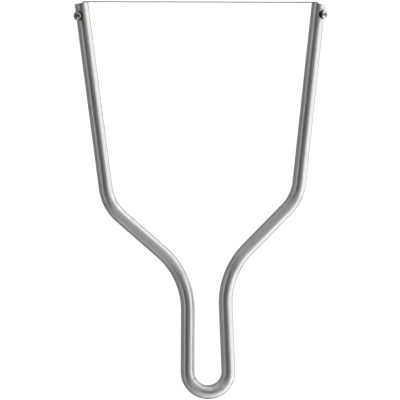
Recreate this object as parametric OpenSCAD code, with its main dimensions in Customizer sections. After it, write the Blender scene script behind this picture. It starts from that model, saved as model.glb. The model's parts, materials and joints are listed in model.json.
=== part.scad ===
// Bow-type wire slicer: one bent tube with a looped grip, and a taut cutting wire held at both tips.
// It lies flat on its back. +Y points from the grip to the wire, +X to the right and +Z up.

/* [Tube] */
// Outside diameter of the bent tube
tube_d = 10; // [9:0.5:12]
// Wall thickness of the tube
wall = 1.5; // [1.2:0.1:1.6]
// Bevel on the outer edge of each cut end
tip_bevel = 0.3; // [0.1:0.05:0.4]

/* [Bends] */
// Centreline radius of the loop at the end of the grip
loop_r = 14.7; // [13:0.1:18]
// Centreline radius of the sweep from the grip into each diagonal
neck_r = 55; // [45:1:65]
// Centreline radius of each shoulder
shoulder_r = 32; // [26:1:40]

/* [Right side] */
// Turn of the right half of the loop
right_loop_deg = 92.4; // [89:0.1:94]
// Straight length on the right of the grip
right_grip = 46.4; // [35:0.1:60]
// Turn of the right neck
right_neck_deg = 47.0; // [42:0.1:52]
// Straight length of the right diagonal
right_diagonal = 40.2; // [30:0.1:50]
// Turn of the right shoulder
right_shoulder_deg = 38.4; // [35:0.1:43]
// Straight length of the right arm, up to its tip
right_arm = 129.4; // [110:0.1:150]

/* [Left side] */
// Turn of the left half of the loop
left_loop_deg = 90.3; // [89:0.1:94]
// Straight length on the left of the grip
left_grip = 43.9; // [35:0.1:60]
// Turn of the left neck
left_neck_deg = 49.2; // [42:0.1:52]
// Straight length of the left diagonal
left_diagonal = 39.0; // [30:0.1:50]
// Turn of the left shoulder
left_shoulder_deg = 41.4; // [35:0.1:43]
// Straight length of the left arm, up to its tip
left_arm = 133.7; // [110:0.1:150]

/* [Cutting wire] */
// Diameter of the cutting wire
wire_d = 0.8; // [0.5:0.1:1]
// Centreline radius where the wire turns down into each tip
wire_bend_r = 2.2; // [1.6:0.1:2.2]

/* [Tip plugs] */
// Length of the turned plug inside each tip
plug_len = 14; // [12:0.5:18]
// Diameter of the plug's bore for the wire
plug_bore_d = 1.2; // [1.2:0.1:1.6]
// Diameter of the bore's flared mouth
plug_mouth_d = 2.4; // [2.3:0.1:3]
// Depth of the bore's flared mouth
plug_mouth_depth = 0.8; // [0.7:0.1:1.2]

/* [Wire ferrules] */
// Length of the sleeve crimped on each wire end
ferrule_len = 5; // [4:0.5:7]
// Diameter of the sleeve's round ends
ferrule_d = 2.8; // [2.4:0.1:3.6]
// Length of wire left past the sleeve
wire_tail = 1.5; // [0.5:0.5:3]

/* [Clamp screws] */
// Thread diameter of the clamp screws
screw_d = 3; // [3:0.5:3.5]
// Length under the head
screw_len = 6; // [5.8:0.1:6]
// Diameter of the pan head
head_d = 6; // [5.4:0.1:6.4]
// Height of the pan head
head_h = 1.5; // [1.4:0.1:2]
// Turn of each screw outward from straight up, about its arm
screw_tilt = 42; // [30:1:60]
// Distance of the right screw from its tip
right_screw_inset = 7.6; // [6.5:0.1:9]
// Distance of the left screw from its tip
left_screw_inset = 8.8; // [6.5:0.1:9]

/* [Washers] */
// Outside diameter of the moulded saddle washers
washer_d = 6.3; // [6:0.1:7]
// Thickness of the washer where it is thinnest
washer_t = 1.45; // [1.45:0.05:1.6]

/* [Hidden] */
$fn = 96;
bend_fn = 180;

// A side is its bend plan, from the middle of the loop to the tip, with its screw's inset last.
RIGHT = [right_loop_deg, right_grip, right_neck_deg, right_diagonal, right_shoulder_deg, right_arm,
    right_screw_inset];
LEFT = [left_loop_deg, left_grip, left_neck_deg, left_diagonal, left_shoulder_deg, left_arm,
    left_screw_inset];

tube_r = tube_d / 2;
bore_d = tube_d - 2 * wall;
steel = "silver";
bright = "gainsboro";
nylon = "#1c1c1e";

// A straight run reaches into the bends beside it by the seat, and is thinner by the step all round.
tube_seat = 0.3;
tube_step = 0.02;
wire_seat = 0.04;
wire_step = 0.005;

// Gaps between the pieces
plug_gap = 0.03;
thread_gap = 0.05;
saddle_gap = 0.05;
rim_gap = 0.03;
crimp_gap = 0.01;
clearance_hole_d = screw_d + 0.4;

// A cutting shape reaches this far past what it cuts.
over = 1;

// A place on the centreline is [x, y, heading in degrees], starting at the middle of the loop.
function along(p, len) = [p.x + len * cos(p.z), p.y + len * sin(p.z), p.z];
function around(p, r, deg) = let (side = sign(deg) * r) [
    p.x + side * (sin(p.z + deg) - sin(p.z)), p.y + side * (cos(p.z) - cos(p.z + deg)), p.z + deg];
function grip_end(plan) = along(around([0, 0, 0], loop_r, plan[0]), plan[1]);
function diagonal_end(plan) = along(around(grip_end(plan), neck_r, -plan[2]), plan[3]);
function tip_of(plan) = along(around(diagonal_end(plan), shoulder_r, plan[4]), plan[5]);

right_tip = tip_of(RIGHT);
left_tip = tip_of(LEFT);

// The wire rests on each tip's inner rim, so its corner stands this far past the tip on the arm's own axis.
function wire_lift(tip) = tube_r * tan(90 - tip.z) + wire_d / 2 / cos(90 - tip.z) + rim_gap;
right_corner = along(right_tip, wire_lift(right_tip));
left_corner = along(left_tip, wire_lift(left_tip));
wire_span = [right_corner.x + left_corner.x, right_corner.y - left_corner.y];

// Turn of the wire at a tip, and the length that the turn takes from each side of the corner
right_wire_deg = 180 - atan2(wire_span.y, wire_span.x) - right_tip.z;
left_wire_deg = 180 + atan2(wire_span.y, wire_span.x) - left_tip.z;
function turn_len(deg) = wire_bend_r * tan(deg / 2);
straight_wire = norm(wire_span) - turn_len(right_wire_deg) - turn_len(left_wire_deg);

// Screw heights are measured from the arm's axis.
washer_top = tube_r + washer_t;
head_base = washer_top + crimp_gap;
head_top = head_base + head_h;
screw_point = head_base - screw_len;
head_dome_r = 6.5;
head_root = 0.5;
point_bevel = 0.35;
recess_len = 3.4;
recess_w = 0.75;
recess_depth = 1.2;
recess_pit = 0.3;

// A ferrule's crimped middle
crimp_share = 0.6;
crimp_step = 0.3;

// The origin is at the middle of the lowest plane of the whole part, so the loop is moved there.
head_reach = head_top * sin(screw_tilt) + head_d / 2 * cos(screw_tilt);
right_edge = along(right_tip, -right_screw_inset).x + head_reach;
left_edge = along(left_tip, -left_screw_inset).x + head_reach;
top_edge = right_corner.y + wire_d / 2;
loop_middle = [(left_edge - right_edge) / 2, -(top_edge - tube_r) / 2, tube_r];

module place() translate(loop_middle) children();
module on_left() mirror([1, 0, 0]) children();

// At a tip, +X runs out of the tube, +Y towards the other tip and +Z up.
module at_tip(tip) translate([tip.x, tip.y, 0]) rotate([0, 0, tip.z]) children();
// At a screw, +Z runs out through its head.
module at_screw(plan) at_tip(tip_of(plan)) translate([-plan[6], 0, 0]) rotate([screw_tilt, 0, 0]) children();

// The quarter turn lines up the seam of the cylinder with those of the bends.
module run(len, d, seat, step) {
    translate([-seat, 0, 0]) rotate([0, 90, 0]) rotate([0, 0, 90])
        cylinder(d = d - 2 * step, h = len + 2 * seat);
    translate([len, 0, 0]) children();
}

module past_bend(r, deg) {
    side = sign(deg) * r;
    translate([0, side, 0]) rotate([0, 0, deg]) translate([0, -side, 0]) children();
}

module bend(r, deg, d) {
    translate([0, sign(deg) * r, 0]) mirror([0, deg > 0 ? 0 : 1, 0]) rotate([0, 0, -90])
        rotate_extrude(angle = abs(deg), $fn = bend_fn) translate([r, 0]) circle(d = d);
    past_bend(r, deg) children();
}

module loop_bend(d) {
    translate([0, loop_r, 0]) rotate([0, 0, -90 - left_loop_deg])
        rotate_extrude(angle = left_loop_deg + right_loop_deg, $fn = bend_fn)
            translate([loop_r, 0]) circle(d = d);
}

// The last run ends past the tip by extra, without a seat there.
module side_bar(plan, d, extra) {
    past_bend(loop_r, plan[0]) run(plan[1], d, tube_seat, tube_step)
        bend(neck_r, -plan[2], d) run(plan[3], d, tube_seat, tube_step)
            bend(shoulder_r, plan[4], d)
                run(plan[5] + extra - tube_seat, d, tube_seat, tube_step);
}

module bent_bar(d, extra = 0) {
    loop_bend(d);
    side_bar(RIGHT, d, extra);
    on_left() side_bar(LEFT, d, extra);
}

module tip_edge_cut() {
    rotate([0, 90, 0]) rotate_extrude()
        polygon([[tube_r + over, over], [tube_r - tip_bevel - over, over],
            [tube_r + over, -tip_bevel - over]]);
}

module screw_clearance() cylinder(d = clearance_hole_d, h = tube_d);

module bow_tube() {
    color(steel) place() difference() {
        bent_bar(tube_d);
        bent_bar(bore_d, extra = over);
        at_tip(right_tip) tip_edge_cut();
        on_left() at_tip(left_tip) tip_edge_cut();
        at_screw(RIGHT) screw_clearance();
        on_left() at_screw(LEFT) screw_clearance();
    }
}

module tip_plug(plan) {
    at_tip(tip_of(plan)) difference() {
        rotate([0, -90, 0]) cylinder(d = bore_d - 2 * (tube_step + plug_gap), h = plug_len);
        translate([over, 0, 0]) rotate([0, -90, 0]) cylinder(d = plug_bore_d, h = plug_len + 2 * over);
        rotate([0, -90, 0]) cylinder(d1 = plug_mouth_d, d2 = plug_bore_d, h = plug_mouth_depth);
        translate([-plan[6], 0, 0]) rotate([screw_tilt, 0, 0])
            cylinder(d = screw_d + 2 * thread_gap, h = tube_r);
    }
}

module right_tip_plug() color(bright) place() tip_plug(RIGHT);
module left_tip_plug() color(bright) place() on_left() tip_plug(LEFT);

module wire_end(tip, deg) {
    buried = plug_len + ferrule_len + wire_tail + wire_lift(tip) - turn_len(deg);
    at_tip(tip) translate([wire_lift(tip) - turn_len(deg) - buried, 0, 0])
        run(buried, wire_d, wire_seat, wire_step) bend(wire_bend_r, deg, wire_d) children();
}

module cutting_wire() {
    color("gray") place() {
        wire_end(right_tip, right_wire_deg) run(straight_wire, wire_d, wire_seat, wire_step);
        on_left() wire_end(left_tip, left_wire_deg);
    }
}

// A round sleeve with a hexagonal crimp along its middle
module wire_ferrule(tip) {
    end_len = ferrule_len * (1 - crimp_share) / 2;
    at_tip(tip) translate([-plug_len - rim_gap, 0, 0]) rotate([0, -90, 0]) difference() {
        union() {
            cylinder(d = ferrule_d - crimp_step, h = ferrule_len, $fn = 6);
            for (start = [0, ferrule_len - end_len])
                translate([0, 0, start]) cylinder(d = ferrule_d, h = end_len);
        }
        translate([0, 0, -over]) cylinder(d = wire_d + 2 * crimp_gap, h = ferrule_len + 2 * over);
    }
}

module right_wire_ferrule() color("peru") place() wire_ferrule(right_tip);
module left_wire_ferrule() color("peru") place() on_left() wire_ferrule(left_tip);

module cross_recess() {
    for (turn = [0, 90]) rotate([0, 0, turn])
        translate([-recess_len / 2, -recess_w / 2, -recess_depth])
            cube([recess_len, recess_w, recess_depth + over]);
    translate([0, 0, -recess_depth - recess_pit])
        cylinder(d1 = recess_w, d2 = 2 * recess_w, h = recess_depth + recess_pit);
}

module clamp_screw() {
    difference() {
        union() {
            intersection() {
                translate([0, 0, head_base]) cylinder(d = head_d, h = head_h);
                translate([0, 0, head_top - head_dome_r]) sphere(r = head_dome_r);
            }
            translate([0, 0, screw_point + point_bevel])
                cylinder(d = screw_d, h = head_base + head_root - screw_point - point_bevel);
            translate([0, 0, screw_point])
                cylinder(d1 = screw_d - 2 * point_bevel, d2 = screw_d, h = point_bevel);
        }
        translate([0, 0, head_top]) cross_recess();
    }
}

module right_clamp_screw() color(bright) place() at_screw(RIGHT) clamp_screw();
module left_clamp_screw() color(bright) place() on_left() at_screw(LEFT) clamp_screw();

// Its underside is moulded to the tube, so it slides along the screw but can't turn.
module saddle_washer() {
    difference() {
        cylinder(d = washer_d, h = washer_top);
        rotate([0, 90, 0]) cylinder(r = tube_r + saddle_gap, h = washer_d + 2 * over, center = true);
        cylinder(d = screw_d + 2 * thread_gap, h = washer_top + over);
    }
}

module right_washer() color(nylon) place() at_screw(RIGHT) saddle_washer();
module left_washer() color(nylon) place() on_left() at_screw(LEFT) saddle_washer();

bow_tube();
left_tip_plug();
right_tip_plug();
cutting_wire();
left_wire_ferrule();
right_wire_ferrule();
left_clamp_screw();
right_clamp_screw();
left_washer();
right_washer();
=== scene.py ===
"""Looks of the bow slicer: a polished bent tube, a taut cutting wire and its clamp screws.

All sizes are in metres, in the CAD frame: +Y from the grip to the wire, +X to the right, +Z up.
"""

import json
import math

import bmesh
import bpy
from mathutils import Matrix, Vector


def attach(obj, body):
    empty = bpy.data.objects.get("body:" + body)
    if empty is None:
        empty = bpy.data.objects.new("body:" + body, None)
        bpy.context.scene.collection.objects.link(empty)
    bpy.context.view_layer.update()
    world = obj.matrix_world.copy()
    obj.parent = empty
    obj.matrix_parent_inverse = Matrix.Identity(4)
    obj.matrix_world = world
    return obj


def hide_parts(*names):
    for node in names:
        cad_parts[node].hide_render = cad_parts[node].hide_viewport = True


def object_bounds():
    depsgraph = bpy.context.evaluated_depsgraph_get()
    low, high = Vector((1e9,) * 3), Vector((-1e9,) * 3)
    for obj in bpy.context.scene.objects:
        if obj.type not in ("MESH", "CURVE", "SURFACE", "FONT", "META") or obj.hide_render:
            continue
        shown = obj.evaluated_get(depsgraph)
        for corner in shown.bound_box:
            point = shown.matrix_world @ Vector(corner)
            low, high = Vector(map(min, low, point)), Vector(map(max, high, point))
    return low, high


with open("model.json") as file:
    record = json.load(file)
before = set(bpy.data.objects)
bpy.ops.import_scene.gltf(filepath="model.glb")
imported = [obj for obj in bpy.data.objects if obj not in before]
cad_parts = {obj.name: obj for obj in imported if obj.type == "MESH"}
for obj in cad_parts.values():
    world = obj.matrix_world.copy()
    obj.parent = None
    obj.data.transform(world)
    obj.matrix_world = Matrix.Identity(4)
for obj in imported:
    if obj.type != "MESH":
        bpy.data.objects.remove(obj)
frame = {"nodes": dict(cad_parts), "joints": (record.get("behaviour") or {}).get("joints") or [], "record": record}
cad_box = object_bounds()
scene = bpy.context.scene
record = frame["record"]
MM = 0.001

# ---------------------------------------------------------------- sizes, as in the CAD source
TUBE_R = 5 * MM
BORE_R = 3.5 * MM
END_ROUND = 0.3 * MM
BORE_ROUND = 0.15 * MM
LOOP_R, NECK_R, SHOULDER_R = 14.7 * MM, 55 * MM, 32 * MM
# Turns in degrees and straights in metres: loop, grip, neck, diagonal, shoulder, arm, screw from the tip
RIGHT_PLAN = (92.4, 46.4 * MM, 47.0, 40.2 * MM, 38.4, 129.4 * MM, 7.6 * MM)
LEFT_PLAN = (90.3, 43.9 * MM, 49.2, 39.0 * MM, 41.4, 133.7 * MM, 8.8 * MM)
WIRE_R = 0.4 * MM
WIRE_BEND_R = 2.2 * MM
WIRE_RIM_GAP = 0.03 * MM
PLUG_LEN, FERRULE_LEN, WIRE_TAIL = 14 * MM, 5 * MM, 1.5 * MM
SCREW_HOLE_R = 1.7 * MM
THREAD_R, THREAD_DEPTH, THREAD_PITCH = 1.5 * MM, 0.3 * MM, 0.5 * MM
HEAD_R, HEAD_H, HEAD_DOME_R, HEAD_EDGE_R = 3 * MM, 1.5 * MM, 6.5 * MM, 0.22 * MM
SCREW_POINT, HEAD_BASE = 0.46 * MM, 6.46 * MM
# The thread's ridge starts above the screw's point and stops short of its head
THREAD_START, THREAD_LEN = 0.9 * MM, 5.2 * MM
RECESS_LEN, RECESS_W, RECESS_DEPTH = 3.4 * MM, 0.75 * MM, 1.2 * MM
# The cross is a little wider where it opens, and its wings taper to these shares at its floor
RECESS_OPEN, RECESS_FLOOR_LEN, RECESS_FLOOR_W, RECESS_TIP = 1.06, 0.42, 0.7, 0.3 * MM
WASHER_R, WASHER_TOP, WASHER_HOLE_R, SADDLE_R = 3.15 * MM, 6.45 * MM, 1.55 * MM, 5.05 * MM
WASHER_EDGE_R, WASHER_BORE_EDGE_R = 0.18 * MM, 0.12 * MM
TURNING_PITCH = 0.15 * MM


# ---------------------------------------------------------------- small helpers
def linear(hex_code):
    """An sRGB hex colour as linear RGBA."""
    parts = [int(hex_code[i:i + 2], 16) / 255 for i in (1, 3, 5)]
    return (*[c / 12.92 if c <= 0.04045 else ((c + 0.055) / 1.055) ** 2.4 for c in parts], 1)


def add(tree, kind, inputs=(), **settings):
    """Adds a node. inputs maps a socket's name or index to a value, or to the socket that feeds it."""
    new = tree.nodes.new(kind)
    for key, value in settings.items():
        setattr(new, key, value)
    for key, value in dict(inputs).items():
        if isinstance(value, bpy.types.NodeSocket):
            tree.links.new(value, new.inputs[key])
        else:
            new.inputs[key].default_value = value
    return new


def new_mesh_object(name, mesh):
    made = bpy.data.objects.new(name, mesh)
    scene.collection.objects.link(made)
    return made


# ---------------------------------------------------------------- the bend plan
class Route:
    """Stations along a bent centreline: place, distance along it, and curvature, positive to the left."""

    def __init__(self):
        self.x = self.y = self.heading = self.along = 0.0
        self.stations = [(0.0, 0.0, 0.0, 0.0)]

    def straight(self, length, steps):
        """steps are distances from the start of this straight, in metres."""
        x, y, along = self.x, self.y, self.along
        c, s = math.cos(self.heading), math.sin(self.heading)
        for d in [d for d in steps if 0 < d < length] + [length]:
            self.stations.append((x + d * c, y + d * s, along + d, 0.0))
        self.x, self.y, self.along = x + length * c, y + length * s, along + length

    def bend(self, radius, degrees, step_degrees):
        turn = math.radians(degrees)
        side = math.copysign(radius, turn)
        count = max(2, round(abs(degrees) / step_degrees))
        x, y, start, along = self.x, self.y, self.heading, self.along
        for i in range(1, count + 1):
            self.heading = start + turn * i / count
            self.x = x + side * (math.sin(self.heading) - math.sin(start))
            self.y = y + side * (math.cos(start) - math.cos(self.heading))
            self.along = along + radius * abs(turn) * i / count
            self.stations.append((self.x, self.y, self.along, 1 / side))


def spread(length, gap):
    """Distances that divide a length into parts of about gap."""
    count = max(1, round(length / gap))
    return [length * i / count for i in range(1, count)]


def side_route(plan):
    """One side of the tube, from the middle of the loop to the tip."""
    loop, grip, neck, diagonal, shoulder, arm, inset = plan
    route = Route()
    route.bend(LOOP_R, loop, 3)
    route.straight(grip, spread(grip, 4 * MM))
    route.bend(NECK_R, -neck, 2.5)
    route.straight(diagonal, spread(diagonal, 4 * MM))
    route.bend(SHOULDER_R, shoulder, 2.5)
    by_screw = [arm - inset + i * 0.4 * MM for i in range(-10, 11)]
    by_tip = [arm - d * MM for d in (1.5, 0.8, 0.5, 0.3, 0.22, 0.15, 0.1, 0.06, 0.03, 0.01)]
    far = [d for d in spread(arm, 4 * MM) if d < by_screw[0] - MM or by_screw[-1] + MM < d < by_tip[0] - MM]
    route.straight(arm, sorted(far + by_screw + by_tip))
    return route


def tube_stations():
    """The whole centreline from the left tip to the right tip."""
    left, right = side_route(LEFT_PLAN), side_route(RIGHT_PLAN)
    total = left.along
    back = [(-x, y, total - along, curve) for x, y, along, curve in reversed(left.stations[1:])]
    # The left side is mirrored and then run backwards, which leaves each bend turning the same way
    return back + [(x, y, total + along, curve) for x, y, along, curve in right.stations], left, right


loop_centre = Vector(record["mounts"][0]["pos_m"])
loop_middle = loop_centre - Vector((0, LOOP_R, 0))
stations, left_route, right_route = tube_stations()


def tip_frame(route, side):
    """A tip's place and its outward direction. side is 1 on the right and -1 on the left."""
    out = Vector((side * math.cos(route.heading), math.sin(route.heading), 0))
    return loop_middle + Vector((side * route.x, route.y, 0)), out


def path_mesh(name, points, along, curvature):
    """A line of vertices that carries the distance along it and its curvature."""
    mesh = bpy.data.meshes.new(name)
    mesh.from_pydata(points, [(i, i + 1) for i in range(len(points) - 1)], [])
    for key, values in (("stock_along", along), ("stock_curvature", curvature)):
        mesh.attributes.new(key, "FLOAT", "POINT").data.foreach_set("value", values)
    return mesh


# ---------------------------------------------------------------- swept stock, in Geometry Nodes
def swept_stock_tree():
    """Sweeps round stock along the object's own line. Each point keeps its place on the stock before bending,
    the direction of the stock, the strain that bending gave it and its distance from the nearer end."""
    tree = bpy.data.node_groups.new("swept_stock", "GeometryNodeTree")
    face = tree.interface
    face.new_socket("Line", in_out="INPUT", socket_type="NodeSocketGeometry")
    for name, value in (("Outer radius", 0.005), ("Bore radius", 0.0035), ("End rounding", 0.0003),
                        ("Bore rounding", 0.00015), ("Length", 0.6)):
        socket = face.new_socket(name, in_out="INPUT", socket_type="NodeSocketFloat")
        socket.default_value = value
    face.new_socket("Points around", in_out="INPUT", socket_type="NodeSocketInt").default_value = 64
    face.new_socket("Hollow", in_out="INPUT", socket_type="NodeSocketBool")
    face.new_socket("Material", in_out="INPUT", socket_type="NodeSocketMaterial")
    face.new_socket("Stock", in_out="OUTPUT", socket_type="NodeSocketGeometry")
    given = tree.nodes.new("NodeGroupInput").outputs

    def math_node(operation, a, b=0.0):
        return add(tree, "ShaderNodeMath", {0: a, 1: b}, operation=operation).outputs[0]

    def attribute(name, kind="FLOAT"):
        return add(tree, "GeometryNodeInputNamedAttribute", {"Name": name}, data_type=kind).outputs[0]

    def store(geometry, name, value, kind="FLOAT"):
        return add(tree, "GeometryNodeStoreNamedAttribute",
                   {"Geometry": geometry, "Name": name, "Value": value}, data_type=kind).outputs["Geometry"]

    line = add(tree, "GeometryNodeMeshToCurve", {"Mesh": given["Line"]}).outputs["Curve"]
    line = add(tree, "GeometryNodeSetCurveNormal", {"Curve": line}, mode="Z_UP").outputs["Curve"]
    line = store(line, "stock_centre", add(tree, "GeometryNodeInputPosition").outputs[0], "FLOAT_VECTOR")
    line = store(line, "stock_axis", add(tree, "GeometryNodeInputTangent").outputs[0], "FLOAT_VECTOR")
    along = attribute("stock_along")
    from_end = math_node("MINIMUM", along, math_node("SUBTRACT", given["Length"], along))
    line = store(line, "from_end", from_end)

    def quarter(radius, depth):
        """How far a quarter round of that radius has risen at a depth from the end."""
        short = math_node("MAXIMUM", math_node("SUBTRACT", radius, depth), 0.0)
        rise = math_node("SUBTRACT", math_node("POWER", radius, 2.0), math_node("POWER", short, 2.0))
        return math_node("SQRT", math_node("MAXIMUM", rise, 0.0))

    near = attribute("from_end")
    rim = math_node("SUBTRACT", given["Outer radius"], given["End rounding"])
    outer = math_node("ADD", rim, quarter(given["End rounding"], near))
    bore_end = math_node("ADD", given["Bore radius"], given["Bore rounding"])
    inner = math_node("SUBTRACT", bore_end, quarter(given["Bore rounding"], near))
    at_end = math_node("LESS_THAN", near, 0.000005)
    inner = add(tree, "GeometryNodeSwitch", {"Switch": at_end, "False": inner, "True": rim},
                input_type="FLOAT").outputs[0]
    ring = add(tree, "GeometryNodeCurvePrimitiveCircle",
               {"Resolution": given["Points around"], "Radius": 1.0}).outputs["Curve"]

    def sweep(radius, caps):
        wide = add(tree, "GeometryNodeSetCurveRadius", {"Curve": line, "Radius": radius}).outputs["Curve"]
        # The radius is an attribute of the line, so the unit ring is scaled by it at each station.
        scale = add(tree, "GeometryNodeInputRadius").outputs[0]
        return add(tree, "GeometryNodeCurveToMesh",
                   {"Curve": wide, "Profile Curve": ring, "Scale": scale, "Fill Caps": caps}).outputs["Mesh"]

    solid = sweep(outer, True)
    shell = sweep(outer, False)
    lining = add(tree, "GeometryNodeFlipFaces", {"Mesh": sweep(inner, False)}).outputs["Mesh"]
    both = tree.nodes.new("GeometryNodeJoinGeometry")
    tree.links.new(shell, both.inputs[0])
    tree.links.new(lining, both.inputs[0])
    welded = add(tree, "GeometryNodeMergeByDistance",
                 {"Geometry": both.outputs[0], "Distance": 1e-6}).outputs[0]
    body = add(tree, "GeometryNodeSwitch", {"Switch": given["Hollow"], "False": solid, "True": welded},
               input_type="GEOMETRY").outputs[0]

    # Place on the straight stock: to the left, up, and along
    offset = add(tree, "ShaderNodeVectorMath", {0: add(tree, "GeometryNodeInputPosition").outputs[0],
                 1: attribute("stock_centre", "FLOAT_VECTOR")}, operation="SUBTRACT").outputs[0]
    leftward = add(tree, "ShaderNodeVectorMath", {0: (0, 0, 1), 1: attribute("stock_axis", "FLOAT_VECTOR")},
                   operation="CROSS_PRODUCT").outputs[0]
    sideways = add(tree, "ShaderNodeVectorMath", {0: offset, 1: leftward},
                   operation="DOT_PRODUCT").outputs["Value"]
    height = add(tree, "ShaderNodeSeparateXYZ", {0: offset}).outputs["Z"]
    place = add(tree, "ShaderNodeCombineXYZ",
                {0: sideways, 1: height, 2: attribute("stock_along")}).outputs[0]
    body = store(body, "stock_place", place, "FLOAT_VECTOR")
    strain = math_node("MULTIPLY", math_node("MULTIPLY", sideways, attribute("stock_curvature")), -1.0)
    body = store(body, "bend_strain", strain)
    body = add(tree, "GeometryNodeSetShadeSmooth", {"Geometry": body, "Shade Smooth": True}).outputs[0]
    body = add(tree, "GeometryNodeRealizeInstances", {"Geometry": body}).outputs[0]
    body = add(tree, "GeometryNodeSetMaterial", {"Geometry": body, "Material": given["Material"]}).outputs[0]
    add(tree, "NodeGroupOutput", {0: body})
    return tree


def grown(name, mesh, tree, **values):
    """Runs a Geometry Nodes tree on a mesh and returns the result as a plain mesh object."""
    seed = new_mesh_object(name + "_line", mesh)
    modifier = seed.modifiers.new("grow", "NODES")
    modifier.node_group = tree
    sockets = {s.name: s.identifier for s in tree.interface.items_tree if s.in_out == "INPUT"}
    for key, value in values.items():
        modifier[sockets[key.replace("_", " ")]] = value
    bpy.context.view_layer.update()
    graph = bpy.context.evaluated_depsgraph_get()
    made = bpy.data.meshes.new_from_object(seed.evaluated_get(graph), preserve_all_data_layers=True,
                                           depsgraph=graph)
    made.name = name
    bpy.data.objects.remove(seed)
    return new_mesh_object(name, made)


# ---------------------------------------------------------------- materials
def material(name):
    made = bpy.data.materials.new(name)
    made.use_nodes = True
    tree = made.node_tree
    tree.nodes.clear()
    shader = tree.nodes.new("ShaderNodeBsdfPrincipled")
    add(tree, "ShaderNodeOutputMaterial", {"Surface": shader.outputs[0]})
    return made, tree, shader


def between(tree, value, low, high, to_low=0.0, to_high=1.0, smooth=False):
    """Maps a value from one range to another, kept within it."""
    limits = {"Value": value, "From Min": low, "From Max": high, "To Min": to_low, "To Max": to_high}
    kind = "SMOOTHSTEP" if smooth else "LINEAR"
    return add(tree, "ShaderNodeMapRange", limits, interpolation_type=kind).outputs["Result"]


def noise(tree, place, scale, per_axis=(1, 1, 1), detail=2.0, rough=0.5):
    """Noise whose scale is in cycles for each metre, stretched along an axis where per_axis is small."""
    moved = add(tree, "ShaderNodeMapping", {"Vector": place, "Scale": per_axis}).outputs[0]
    return add(tree, "ShaderNodeTexNoise",
               {"Vector": moved, "Scale": scale, "Detail": detail, "Roughness": rough}).outputs["Fac"]


def polished_tube_steel():
    """Drawn stainless steel tube, polished round its length with a belt and then a soft wheel. The belt leaves
    fine marks round the tube, which spread each reflection along it, over faint lines from the drawing die."""
    made, tree, shader = material("polished_stainless_tube")
    place = add(tree, "ShaderNodeAttribute", attribute_name="stock_place").outputs["Vector"]
    axis = add(tree, "ShaderNodeAttribute", attribute_name="stock_axis").outputs["Vector"]
    strain = add(tree, "ShaderNodeAttribute", attribute_name="bend_strain").outputs["Fac"]
    # Belt marks are about 0.1 mm apart on the tube and drawn at about 0.6 mm, so that they show
    belt = noise(tree, place, 1600, (0.10, 0.10, 1), 3, 0.6)
    broad_belt = noise(tree, place, 420, (0.12, 0.12, 1), 2)
    die = noise(tree, place, 1500, (1, 1, 0.012), 2)
    smudge = noise(tree, place, 60, (1, 1, 0.6), 3, 0.6)
    tone = noise(tree, place, 35, (1, 1, 0.4), 2)
    colour = add(tree, "ShaderNodeMix", {"Factor": tone, 6: linear("#D2D2CD"), 7: linear("#DADAD7")},
                 data_type="RGBA").outputs[2]
    shader.inputs["Metallic"].default_value = 1
    shader.inputs["Anisotropic"].default_value = 1
    tree.links.new(axis, shader.inputs["Tangent"])
    rough = between(tree, smudge, 0.35, 0.7, 0.33, 0.39)
    # The sloping necks are given more roughness, and their base colour is painted brighter: a painted reflection,
    # standing in for the brighter light that the necks' reflections pick up
    slope = add(tree, "ShaderNodeSeparateXYZ", {0: axis}).outputs["X"]
    slope = add(tree, "ShaderNodeMath", {0: slope}, operation="ABSOLUTE").outputs[0]
    neck = between(tree, slope, 0.25, 0.65, smooth=True)
    rough = add(tree, "ShaderNodeMath", {0: neck, 1: 0.4, 2: rough}, operation="MULTIPLY_ADD").outputs[0]
    rough = add(tree, "ShaderNodeMath", {0: rough, 1: between(tree, belt, 0.3, 0.7, -0.07, 0.07)},
                operation="ADD").outputs[0]
    tree.links.new(rough, shader.inputs["Roughness"])
    # Painted reflection: the necks' base colour is pushed toward near-white so that they read brighter
    colour = add(tree, "ShaderNodeMix", {"Factor": neck, 6: colour, 7: linear("#F6F6F4")},
                 data_type="RGBA").outputs[2]
    tree.links.new(colour, shader.inputs["Base Color"])
    # Wrinkles inside a tight bend, a little over 1 mm apart
    ripple = noise(tree, place, 800, (0.25, 0.25, 1), 1)
    squeezed = between(tree, strain, -0.18, -0.32, smooth=True)
    ripple = add(tree, "ShaderNodeMath", {0: ripple, 1: squeezed}, operation="MULTIPLY").outputs[0]
    height = 0.0
    for relief, share in ((belt, 0.5), (broad_belt, 0.5), (die, 0.8), (ripple, 1.5)):
        height = add(tree, "ShaderNodeMath", {0: relief, 1: share, 2: height},
                     operation="MULTIPLY_ADD").outputs[0]
    bump = add(tree, "ShaderNodeBump", {"Strength": 0.6, "Distance": 0.0002, "Height": height}).outputs[0]
    tree.links.new(bump, shader.inputs["Normal"])
    return made


def drawn_wire_steel():
    """Hard drawn stainless steel wire: dull grey, with straight die lines and small nicks across from use."""
    made, tree, shader = material("drawn_stainless_wire")
    place = add(tree, "ShaderNodeAttribute", attribute_name="stock_place").outputs["Vector"]
    axis = add(tree, "ShaderNodeAttribute", attribute_name="stock_axis").outputs["Vector"]
    die = noise(tree, place, 9000, (1, 1, 0.01), 2)
    nicks = noise(tree, place, 900, (0.3, 0.3, 1), 2)
    colour = add(tree, "ShaderNodeMix", {"Factor": die, 6: linear("#716F6C"), 7: linear("#807F7C")},
                 data_type="RGBA").outputs[2]
    tree.links.new(colour, shader.inputs["Base Color"])
    shader.inputs["Metallic"].default_value = 1
    shader.inputs["Anisotropic"].default_value = 0.4
    tree.links.new(axis, shader.inputs["Tangent"])
    tree.links.new(between(tree, nicks, 0.4, 0.7, 0.28, 0.42), shader.inputs["Roughness"])
    bump = add(tree, "ShaderNodeBump", {"Strength": 0.4, "Distance": 0.00001, "Height": nicks}).outputs[0]
    tree.links.new(bump, shader.inputs["Normal"])
    return made


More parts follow.
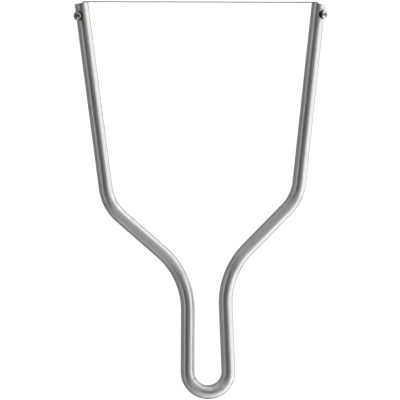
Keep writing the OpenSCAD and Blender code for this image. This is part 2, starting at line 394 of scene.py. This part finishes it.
def screw_steel():
    """Cold headed stainless steel, barrel polished: bright, with small random dents and faint tarnish."""
    made, tree, shader = material("barrel_polished_screw_steel")
    place = add(tree, "ShaderNodeTexCoord").outputs["Object"]
    dents = noise(tree, place, 1400, detail=3)
    grime = noise(tree, place, 700, detail=2)
    colour = add(tree, "ShaderNodeMix", {"Factor": between(tree, grime, 0.4, 0.65), 6: linear("#BBBBB8"),
                 7: linear("#9C9B97")}, data_type="RGBA").outputs[2]
    tree.links.new(colour, shader.inputs["Base Color"])
    shader.inputs["Metallic"].default_value = 1
    tree.links.new(between(tree, dents, 0.35, 0.7, 0.22, 0.38), shader.inputs["Roughness"])
    bump = add(tree, "ShaderNodeBump", {"Strength": 0.3, "Distance": 0.00003, "Height": dents}).outputs[0]
    tree.links.new(bump, shader.inputs["Normal"])
    return made


def washer_nylon_painted_shade():
    """Moulded black nylon 6 with a soft sheen and the fine grain of the mould. Its deep black colour is partly
    painted shade: it also stands in for the shade in the gap under the screw head.
    """
    made, tree, shader = material("black_nylon_and_painted_shade")
    place = add(tree, "ShaderNodeTexCoord").outputs["Object"]
    grain = noise(tree, place, 9000, detail=2)
    # Near-black colour: the nylon's own black, darkened further as painted shade for the gap under the screw head
    colour = add(tree, "ShaderNodeMix", {"Factor": grain, 6: linear("#030303"), 7: linear("#070708")},
                 data_type="RGBA").outputs[2]
    tree.links.new(colour, shader.inputs["Base Color"])
    shader.inputs["IOR"].default_value = 1.53
    shader.inputs["Specular IOR Level"].default_value = 0.12
    tree.links.new(between(tree, grain, 0.3, 0.7, 0.42, 0.58), shader.inputs["Roughness"])
    bump = add(tree, "ShaderNodeBump", {"Strength": 0.3, "Distance": 0.00001, "Height": grain}).outputs[0]
    tree.links.new(bump, shader.inputs["Normal"])
    return made


def turned_plug_steel(name, centre, out):
    """Stainless bar turned on a lathe: fine rings round the plug's own axis, about 0.15 mm apart."""
    made, tree, shader = material(name)
    place = add(tree, "ShaderNodeTexCoord").outputs["Object"]
    # The mapping stands the plug upright on its own axis
    upright = Vector(out).to_track_quat("Z", "Y").to_matrix().to_4x4()
    shift = -(upright.inverted() @ Vector(centre))
    moved = add(tree, "ShaderNodeMapping", {"Vector": place, "Location": shift,
                "Rotation": upright.inverted().to_euler()}).outputs[0]
    rings = add(tree, "ShaderNodeTexWave",
                {"Vector": moved, "Scale": 1 / TURNING_PITCH / 3.14, "Distortion": 0.4, "Detail": 1.0},
                wave_type="RINGS", rings_direction="Z").outputs["Fac"]
    colour = add(tree, "ShaderNodeMix", {"Factor": rings, 6: linear("#8F8E8A"), 7: linear("#A9A8A4")},
                 data_type="RGBA").outputs[2]
    tree.links.new(colour, shader.inputs["Base Color"])
    shader.inputs["Metallic"].default_value = 1
    tree.links.new(between(tree, rings, 0, 1, 0.30, 0.42), shader.inputs["Roughness"])
    bump = add(tree, "ShaderNodeBump", {"Strength": 0.4, "Distance": 0.00001, "Height": rings}).outputs[0]
    tree.links.new(bump, shader.inputs["Normal"])
    return made


def sleeve_brass():
    """Copper alloy sleeve, dulled unevenly by handling."""
    made, tree, shader = material("crimped_copper_alloy")
    place = add(tree, "ShaderNodeTexCoord").outputs["Object"]
    dull = noise(tree, place, 900, detail=3)
    colour = add(tree, "ShaderNodeMix", {"Factor": dull, 6: linear("#B07A4A"), 7: linear("#8C5F3B")},
                 data_type="RGBA").outputs[2]
    tree.links.new(colour, shader.inputs["Base Color"])
    shader.inputs["Metallic"].default_value = 1
    tree.links.new(between(tree, dull, 0.3, 0.7, 0.3, 0.5), shader.inputs["Roughness"])
    return made


# ---------------------------------------------------------------- the tube and the wire
stock_tree = swept_stock_tree()
tube_length = stations[-1][2]
tube_line = path_mesh("bow_line", [loop_middle + Vector((x, y, 0)) for x, y, _, _ in stations],
                      [s[2] for s in stations], [s[3] for s in stations])
bow = grown("polished_bow", tube_line, stock_tree, Outer_radius=TUBE_R, Bore_radius=BORE_R,
            End_rounding=END_ROUND, Bore_rounding=BORE_ROUND, Length=tube_length, Points_around=64,
            Hollow=True, Material=polished_tube_steel())


def screw_place(side):
    """The matrix that carries a screw from its own axis to its place. Its Z runs out through the head."""
    joint = next(j for j in frame["joints"] if j["name"] == side + "_screw_turn")
    out = Vector(joint["axis"]).normalized()
    route, sign = (left_route, -1) if side == "left" else (right_route, 1)
    along = tip_frame(route, sign)[1]
    across = out.cross(along).normalized()
    turn = Matrix((across.cross(out), across, out)).transposed().to_4x4()
    return Matrix.Translation(joint["pos_m"]) @ turn


def wire_points():
    """The wire from deep in the left plug, over to the right one: place, distance and curvature."""
    (left_tip, left_out), (right_tip, right_out) = tip_frame(left_route, -1), tip_frame(right_route, 1)

    def lift(out):
        lean = math.pi / 2 - math.atan2(out.y, abs(out.x))
        return TUBE_R * math.tan(lean) + WIRE_R / math.cos(lean) + WIRE_RIM_GAP

    buried = PLUG_LEN + FERRULE_LEN + WIRE_TAIL
    corners = [left_tip - left_out * buried, left_tip + left_out * lift(left_out),
               right_tip + right_out * lift(right_out), right_tip - right_out * buried]
    points, curvature = [corners[0]], [0.0]
    for before, corner, after in zip(corners, corners[1:], corners[2:]):
        back, ahead = (before - corner).normalized(), (after - corner).normalized()
        half = back.angle(ahead) / 2
        cut = WIRE_BEND_R / math.tan(half)
        middle = corner + (back + ahead).normalized() * WIRE_BEND_R / math.sin(half)
        start, end = corner + back * cut - middle, corner + ahead * cut - middle
        for i in range(19):
            points.append(middle + start.slerp(end, i / 18) * WIRE_BEND_R)
            curvature.append(-1 / WIRE_BEND_R)
    points.append(corners[-1])
    curvature.append(0.0)
    full = [points[0]]
    bends = [curvature[0]]
    for p, q, c in zip(points, points[1:], curvature[1:]):
        parts = max(1, round((q - p).length / (4 * MM)))
        for i in range(1, parts + 1):
            full.append(p.lerp(q, i / parts))
            bends.append(c if parts == 1 else 0.0)
    along = [0.0]
    for p, q in zip(full, full[1:]):
        along.append(along[-1] + (q - p).length)
    return full, along, bends


wire_line, wire_along, wire_bends = wire_points()
wire = grown("taut_wire", path_mesh("wire_line", wire_line, wire_along, wire_bends), stock_tree,
             Outer_radius=WIRE_R, Bore_radius=WIRE_R / 2, End_rounding=WIRE_R / 8, Bore_rounding=WIRE_R / 8,
             Length=wire_along[-1], Points_around=20, Hollow=False, Material=drawn_wire_steel())


# ---------------------------------------------------------------- turned and moulded pieces
def turned(name, outline, around, place):
    """A mesh turned from an outline of (radius, height) points, closed where the outline ends on the axis."""
    shape = bmesh.new()
    rings = []
    for radius, height in outline:
        if radius < 1e-9:
            rings.append([shape.verts.new((0, 0, height))])
        else:
            rings.append([shape.verts.new((radius * math.cos(a), radius * math.sin(a), height))
                          for a in (2 * math.pi * i / around for i in range(around))])
    for low, high in zip(rings, rings[1:]):
        for i in range(around):
            j = (i + 1) % around
            corners = [low[i % len(low)], low[j % len(low)], high[j % len(high)], high[i % len(high)]]
            shape.faces.new(list(dict.fromkeys(corners)))
    bmesh.ops.recalc_face_normals(shape, faces=shape.faces)
    shape.transform(place)
    mesh = bpy.data.meshes.new(name)
    shape.to_mesh(mesh)
    shape.free()
    return mesh


def fillet(centre_r, centre_h, radius, start, end, steps=5):
    """Points of an arc between two angles in degrees, 0 outwards and 90 upwards."""
    angles = [math.radians(start + (end - start) * i / steps) for i in range(steps + 1)]
    return [(centre_r + radius * math.cos(a), centre_h + radius * math.sin(a)) for a in angles]


def head_outline():
    """A low pan head with a domed top, a rounded rim and a flat seat, down to the root of the thread."""
    top = HEAD_BASE + HEAD_H
    dome_centre = top - HEAD_DOME_R
    edge = HEAD_R - HEAD_EDGE_R
    lean = math.asin(edge / (HEAD_DOME_R - HEAD_EDGE_R))
    edge_h = dome_centre + (HEAD_DOME_R - HEAD_EDGE_R) * math.cos(lean)
    dome = [(HEAD_DOME_R * math.sin(lean * i / 14), dome_centre + HEAD_DOME_R * math.cos(lean * i / 14))
            for i in range(14)]
    rim = fillet(edge, edge_h, HEAD_EDGE_R, 90 - math.degrees(lean), 0, 6)
    foot = fillet(HEAD_R - 0.1 * MM, HEAD_BASE + 0.1 * MM, 0.1 * MM, 0, -90, 3)
    neck = THREAD_R - THREAD_DEPTH
    shank = [(neck, HEAD_BASE), (neck, SCREW_POINT + THREAD_DEPTH), (neck - THREAD_DEPTH, SCREW_POINT)]
    return dome + rim + foot + shank + [(0, SCREW_POINT)]


def recess_cutter(place):
    """A cross with tapering wings and a pointed middle."""
    shape = bmesh.new()
    top, floor_h = HEAD_BASE + HEAD_H + RECESS_TIP, HEAD_BASE + HEAD_H - RECESS_DEPTH
    levels = []
    for height, reach, half in ((top, RECESS_LEN / 2 * RECESS_OPEN, RECESS_W / 2 * RECESS_OPEN),
                                (floor_h, RECESS_LEN / 2 * RECESS_FLOOR_LEN, RECESS_W / 2 * RECESS_FLOOR_W)):
        ring = []
        for quarter in range(4):
            turn = Matrix.Rotation(quarter * math.pi / 2, 3, "Z")
            for x, y in ((half, -half), (reach, -half), (reach, half)):
                ring.append(shape.verts.new(turn @ Vector((x, y, height))))
        levels.append(ring)
    tip = shape.verts.new((0, 0, floor_h - RECESS_TIP))
    shape.faces.new(levels[0])
    for i in range(12):
        j = (i + 1) % 12
        shape.faces.new((levels[0][i], levels[0][j], levels[1][j], levels[1][i]))
        shape.faces.new((levels[1][i], levels[1][j], tip))
    bmesh.ops.recalc_face_normals(shape, faces=shape.faces)
    shape.transform(place)
    mesh = bpy.data.meshes.new("recess_cutter")
    shape.to_mesh(mesh)
    shape.free()
    return mesh


def thread_tree():
    """A right-hand thread: a ridge with a triangular section that climbs a core, one turn for each pitch."""
    tree = bpy.data.node_groups.new("screw_thread", "GeometryNodeTree")
    face = tree.interface
    face.new_socket("Screw", in_out="INPUT", socket_type="NodeSocketGeometry")
    for name, value in (("Core radius", 0.0012), ("Ridge height", 0.0003), ("Pitch", 0.0005),
                        ("Length", 0.0055), ("Start", 0.0005)):
        face.new_socket(name, in_out="INPUT", socket_type="NodeSocketFloat").default_value = value
    face.new_socket("Place", in_out="INPUT", socket_type="NodeSocketVector")
    face.new_socket("Turn", in_out="INPUT", socket_type="NodeSocketVector")
    face.new_socket("Material", in_out="INPUT", socket_type="NodeSocketMaterial")
    face.new_socket("Threaded screw", in_out="OUTPUT", socket_type="NodeSocketGeometry")
    given = tree.nodes.new("NodeGroupInput").outputs

    def math_node(operation, a, b):
        return add(tree, "ShaderNodeMath", {0: a, 1: b}, operation=operation).outputs[0]

    turns = math_node("DIVIDE", given["Length"], given["Pitch"])
    helix = add(tree, "GeometryNodeCurveSpiral", {"Resolution": 36, "Rotations": turns,
                "Start Radius": given["Core radius"], "End Radius": given["Core radius"],
                "Height": given["Length"], "Reverse": True}).outputs["Curve"]
    helix = add(tree, "GeometryNodeSetCurveNormal", {"Curve": helix}, mode="Z_UP").outputs["Curve"]
    ridge = add(tree, "GeometryNodeCurvePrimitiveCircle", {"Resolution": 3, "Radius": 1.0}).outputs["Curve"]
    # The ring of three points stands with one corner outwards
    ridge = add(tree, "GeometryNodeTransform", {"Geometry": ridge, "Scale": (1, 0.75, 1)}).outputs[0]
    wide = add(tree, "GeometryNodeSetCurveRadius",
               {"Curve": helix, "Radius": given["Ridge height"]}).outputs["Curve"]
    scale = add(tree, "GeometryNodeInputRadius").outputs[0]
    made = add(tree, "GeometryNodeCurveToMesh",
               {"Curve": wide, "Profile Curve": ridge, "Scale": scale, "Fill Caps": True})
    lifted = add(tree, "ShaderNodeCombineXYZ", {2: given["Start"]}).outputs[0]
    made = add(tree, "GeometryNodeTransform", {"Geometry": made.outputs[0], "Translation": lifted}).outputs[0]
    made = add(tree, "GeometryNodeTransform",
               {"Geometry": made, "Translation": given["Place"], "Rotation": given["Turn"]}).outputs[0]
    both = tree.nodes.new("GeometryNodeJoinGeometry")
    tree.links.new(given["Screw"], both.inputs[0])
    tree.links.new(made, both.inputs[0])
    whole = add(tree, "GeometryNodeRealizeInstances", {"Geometry": both.outputs[0]}).outputs[0]
    whole = add(tree, "GeometryNodeSetMaterial",
                {"Geometry": whole, "Material": given["Material"]}).outputs[0]
    add(tree, "NodeGroupOutput", {0: whole})
    return tree


def subtract(target, cutters):
    """Cuts the cutters out of the target's mesh."""
    for i, cutter_mesh in enumerate(cutters):
        cutter = new_mesh_object(f"cutter_{i}", cutter_mesh)
        cut = target.modifiers.new("cut", "BOOLEAN")
        cut.operation, cut.solver, cut.object = "DIFFERENCE", "EXACT", cutter
        bpy.context.view_layer.update()
        graph = bpy.context.evaluated_depsgraph_get()
        mesh = bpy.data.meshes.new_from_object(target.evaluated_get(graph), preserve_all_data_layers=True,
                                               depsgraph=graph)
        target.modifiers.clear()
        mesh.name = target.name
        target.data = mesh
        bpy.data.objects.remove(cutter)
    return target


def smooth_by_angle(target, degrees):
    target.data.polygons.foreach_set("use_smooth", [True] * len(target.data.polygons))
    target.data.set_sharp_from_angle(angle=math.radians(degrees))


def washer_mesh(name, place):
    """A thick washer with rounded edges, its underside moulded to the tube."""
    shape = bmesh.new()
    around = 72
    edge, bore, foot = WASHER_EDGE_R, WASHER_HOLE_R, WASHER_R - 0.08 * MM

    def saddle(radius, angle):
        y = radius * math.sin(angle)
        return math.sqrt(SADDLE_R ** 2 - y ** 2)

    rings = []
    inner = WASHER_BORE_EDGE_R
    profile = ([(bore, "foot", 0.0), (bore, "top", -inner)]
               + [(bore + inner - inner * math.cos(a), "top", -inner + inner * math.sin(a))
                  for a in (math.radians(d) for d in (30, 60, 90))]
               + [(WASHER_R - edge + edge * math.sin(a), "top", -edge + edge * math.cos(a))
                  for a in (math.radians(d) for d in (0, 18, 36, 54, 72, 90))]
               + [(WASHER_R, "foot", 0.08 * MM), (WASHER_R - 0.03 * MM, "foot", 0.02 * MM)]
               + [(foot + (bore - foot) * i / 6, "foot", 0.0) for i in range(6)])
    for radius, base, rise in profile:
        ring = []
        for i in range(around):
            a = 2 * math.pi * i / around
            height = WASHER_TOP + rise if base == "top" else saddle(radius, a) + rise
            ring.append(shape.verts.new((radius * math.cos(a), radius * math.sin(a), height)))
        rings.append(ring)
    for low, high in zip(rings, rings[1:] + rings[:1]):
        for i in range(around):
            j = (i + 1) % around
            shape.faces.new((low[i], low[j], high[j], high[i]))
    bmesh.ops.recalc_face_normals(shape, faces=shape.faces)
    shape.transform(place)
    mesh = bpy.data.meshes.new(name)
    shape.to_mesh(mesh)
    shape.free()
    return mesh


screw_thread = thread_tree()
screw_finish, washer_finish = screw_steel(), washer_nylon_painted_shade()
holes = []
for side in ("left", "right"):
    place = screw_place(side)
    holes.append(turned(side + "_hole", [(0, 0.5 * MM), (SCREW_HOLE_R, 0.5 * MM), (SCREW_HOLE_R, 2 * TUBE_R),
                                         (0, 2 * TUBE_R)], 48, place))
    screw = new_mesh_object(side + "_screw_blank", turned(side + "_screw", head_outline(), 64, place))
    subtract(screw, [recess_cutter(place)])
    smooth_by_angle(screw, 32)
    threaded = grown(side + "_clamp_screw_detail", screw.data, screw_thread,
                     Core_radius=THREAD_R - THREAD_DEPTH, Ridge_height=THREAD_DEPTH, Pitch=THREAD_PITCH,
                     Length=THREAD_LEN, Start=THREAD_START, Place=place.to_translation(), Turn=place.to_euler(),
                     Material=screw_finish)
    bpy.data.objects.remove(screw)
    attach(threaded, side + "_screw")
    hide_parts(side + "_clamp_screw")
    washer = new_mesh_object(side + "_saddle_washer", washer_mesh(side + "_saddle_washer", place))
    washer.data.materials.append(washer_finish)
    smooth_by_angle(washer, 40)
    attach(washer, side + "_washer")
    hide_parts(side + "_washer")

subtract(bow, holes)
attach(bow, "frame")
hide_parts("bow_tube")
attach(wire, "frame")
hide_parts("cutting_wire")


def refinish(node, finish):
    """Puts a finish in a CAD node's own material slots."""
    mesh = frame["nodes"][node].data
    if not mesh.materials:
        mesh.materials.append(finish)
    for i in range(len(mesh.materials)):
        mesh.materials[i] = finish


brass = sleeve_brass()
for side, sign, route in (("left", -1, left_route), ("right", 1, right_route)):
    centre, out = tip_frame(route, sign)
    refinish(side + "_tip_plug", turned_plug_steel("turned_steel_" + side, centre, out))
    refinish(side + "_wire_ferrule", brass)

# ---------------------------------------------------------------- floor, light and camera
low, high = cad_box
bpy.ops.mesh.primitive_plane_add(size=12, location=(0, 0, low.z))
floor = bpy.context.object
floor.name = "studio_floor"
paper, tree, shader = material("matt_white_paper")
fibres = noise(tree, add(tree, "ShaderNodeTexCoord").outputs["Object"], 900, detail=3)
tree.links.new(add(tree, "ShaderNodeMix", {"Factor": fibres, 6: linear("#F4F4F3"), 7: linear("#F8F8F7")},
                   data_type="RGBA").outputs[2], shader.inputs["Base Color"])
shader.inputs["Roughness"].default_value = 0.9
shader.inputs["Specular IOR Level"].default_value = 0.1
floor.data.materials.append(paper)
floor.visible_glossy = False

# The room that the steel reflects, by the angle round the Y axis: a wide window on the right, a dark ceiling
# with a faint middle, and a grey wall with a lighter strip on the left. The camera sees plain white behind.
world = bpy.data.worlds.new("studio")
scene.world = world
world.use_nodes = True
tree = world.node_tree
tree.nodes.clear()
ray = add(tree, "ShaderNodeSeparateXYZ", {0: add(tree, "ShaderNodeTexCoord").outputs["Generated"]}).outputs
round_y = add(tree, "ShaderNodeMath", {0: ray["X"], 1: ray["Z"]}, operation="ARCTAN2").outputs[0]
round_y = between(tree, round_y, -math.pi, math.pi)
room = tree.nodes.new("ShaderNodeValToRGB")
tree.links.new(round_y, room.inputs["Fac"])
ROOM = ((-180, 0.30), (-125, 0.42), (-95, 0.36), (-76, 0.34), (-64, 0.50), (-55, 0.44), (-46, 0.18),
        (-38, 0.06), (-22, 0.06), (-9, 0.13), (2, 0.21), (12, 0.15), (22, 0.13), (34, 0.36), (46, 0.68),
        (60, 0.92), (76, 1.5), (100, 2.3), (122, 1.6), (148, 0.6))
stops = room.color_ramp.elements
while len(stops) < len(ROOM):
    stops.new(1.0)
for stop, (angle, level) in zip(stops, ROOM):
    stop.position = (angle + 180) / 360
    stop.color = (level, level, level, 1)
# Above the floor's level each wall is brighter towards its two ends than in its middle
off_middle = add(tree, "ShaderNodeMath", {0: ray["Y"]}, operation="ABSOLUTE").outputs[0]
ends = between(tree, off_middle, 0.15, 0.6, 0.5, 2.5, smooth=True)
above = between(tree, ray["Z"], -0.15, 0.4, smooth=True)
ends = add(tree, "ShaderNodeMix", {0: above, 2: 0.75, 3: ends}).outputs[0]
back = add(tree, "ShaderNodeBackground", {"Color": room.outputs["Color"], "Strength": ends}).outputs[0]
plain = add(tree, "ShaderNodeBackground", {"Color": linear("#FAFAFA"), "Strength": 1.1}).outputs[0]
seen = add(tree, "ShaderNodeLightPath").outputs["Is Camera Ray"]
mixed = add(tree, "ShaderNodeMixShader", {0: seen, 1: back, 2: plain}).outputs[0]
add(tree, "ShaderNodeOutputWorld", {"Surface": mixed})

fill = bpy.data.lights.new("paper_fill", "SUN")
fill.energy = 3.0
fill.angle = math.radians(40)
fill.use_shadow = False
fill_object = bpy.data.objects.new("paper_fill", fill)
fill_object.visible_glossy = False
scene.collection.objects.link(fill_object)

camera = bpy.data.objects.new("camera", bpy.data.cameras.new("camera"))
scene.collection.objects.link(camera)
YAW = math.radians(4.5)
DISTANCE = 3.0
centre = Vector((-0.0004, 0.00015, TUBE_R))
camera.location = centre + DISTANCE * Vector((-math.sin(YAW), 0, math.cos(YAW)))
camera.rotation_euler = (0, -YAW, 0)
camera.data.sensor_width = 36
camera.data.lens = 36 * DISTANCE / 0.2868
camera.data.clip_start, camera.data.clip_end = 0.05, 50
scene.camera = camera
scene.view_settings.view_transform = "Standard"
